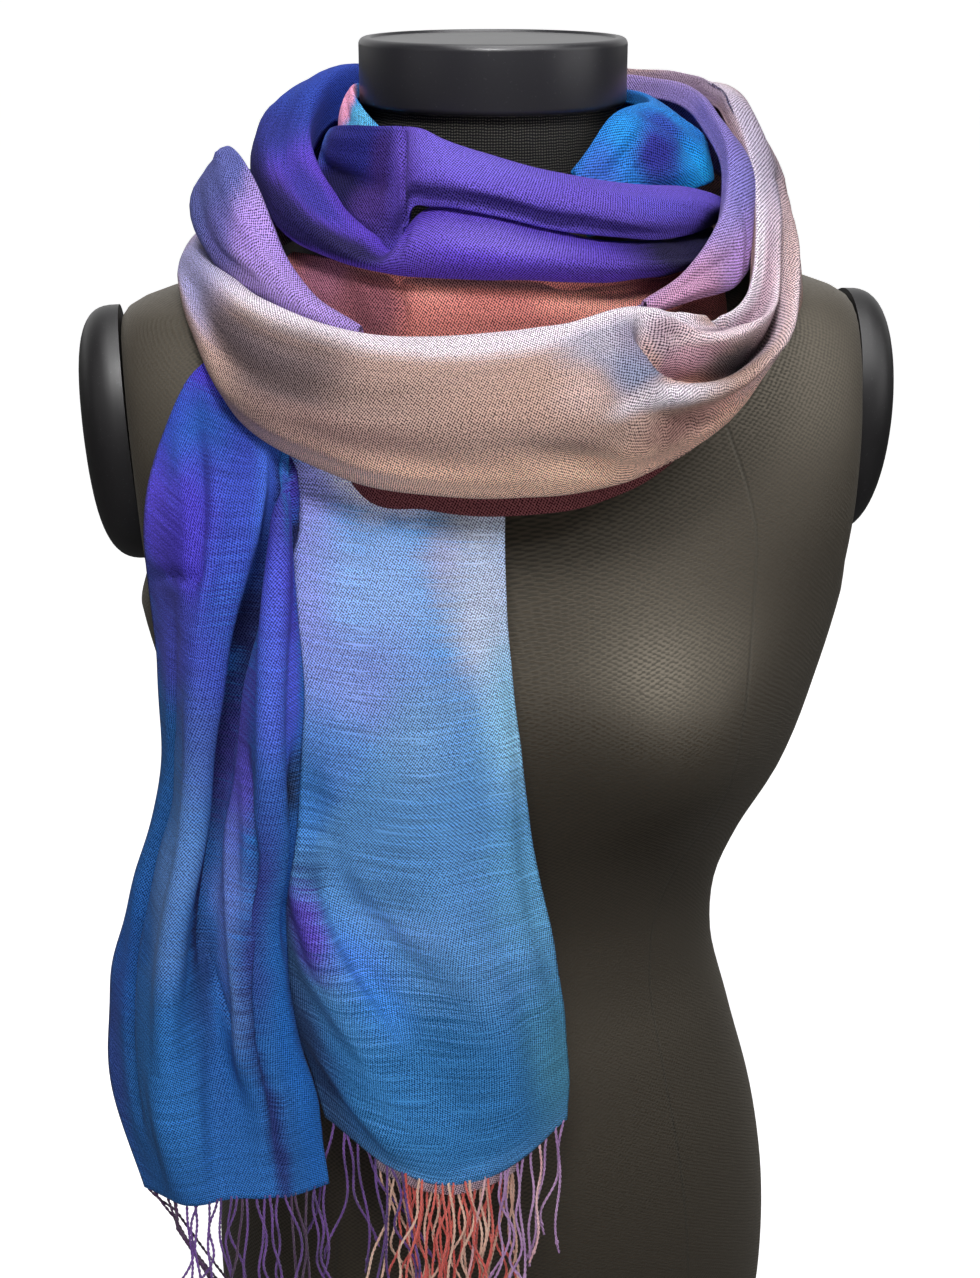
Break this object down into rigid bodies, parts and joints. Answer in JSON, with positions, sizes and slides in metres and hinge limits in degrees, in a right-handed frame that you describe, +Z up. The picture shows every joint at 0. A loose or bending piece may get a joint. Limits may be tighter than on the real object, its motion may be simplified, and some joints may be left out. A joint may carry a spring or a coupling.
{
  "type": "cashmere scarf on a dress form",
  "caption": "Fringed ombre scarf wound loosely round the neck of a limbless dress form, both ends hanging in front; the form stands on its flat hip end",
  "frame": {"origin": "middle of the flat hip end that the dress form stands on, below the middle of its neck", "axes": "+Z up the form, -Y towards the front where the scarf's ends hang, +X to a viewer's right"},
  "size_m": [0.3951, 0.2694, 0.72],
  "materials": {
    "black_jersey": "fine matt knit cover",
    "black_plastic": "satin moulded",
    "beige_cloth": "soft twill with a slight nap",
    "lilac_cloth": "soft twill with a slight nap",
    "rust_cloth": "soft twill with a slight nap",
    "violet_cloth": "soft twill with a slight nap",
    "turquoise_cloth": "soft twill with a slight nap",
    "blue_cloth": "soft twill with a slight nap",
    "sky_cloth": "soft twill with a slight nap",
    "purple_yarn": "thin twisted yarn",
    "pink_yarn": "thin twisted yarn",
    "red_yarn": "thin twisted yarn"
  },
  "bodies": {
    "root": {"form_torso": "black_jersey", "form_neck_cap": "black_plastic", "form_arm_plate_left": "black_plastic", "form_arm_plate_right": "black_plastic", "scarf_outer_wrap": "beige_cloth", "scarf_middle_wrap": "lilac_cloth", "scarf_rust_wrap": "rust_cloth", "scarf_lower_roll": "blue_cloth", "scarf_upper_roll": "violet_cloth", "scarf_inner_wrap": "turquoise_cloth", "scarf_left_end": "blue_cloth", "scarf_right_end": "sky_cloth", "scarf_under_end": "beige_cloth", "fringe_left": "purple_yarn", "fringe_right": "pink_yarn", "fringe_under": "red_yarn"}
  },
  "joints": []
}
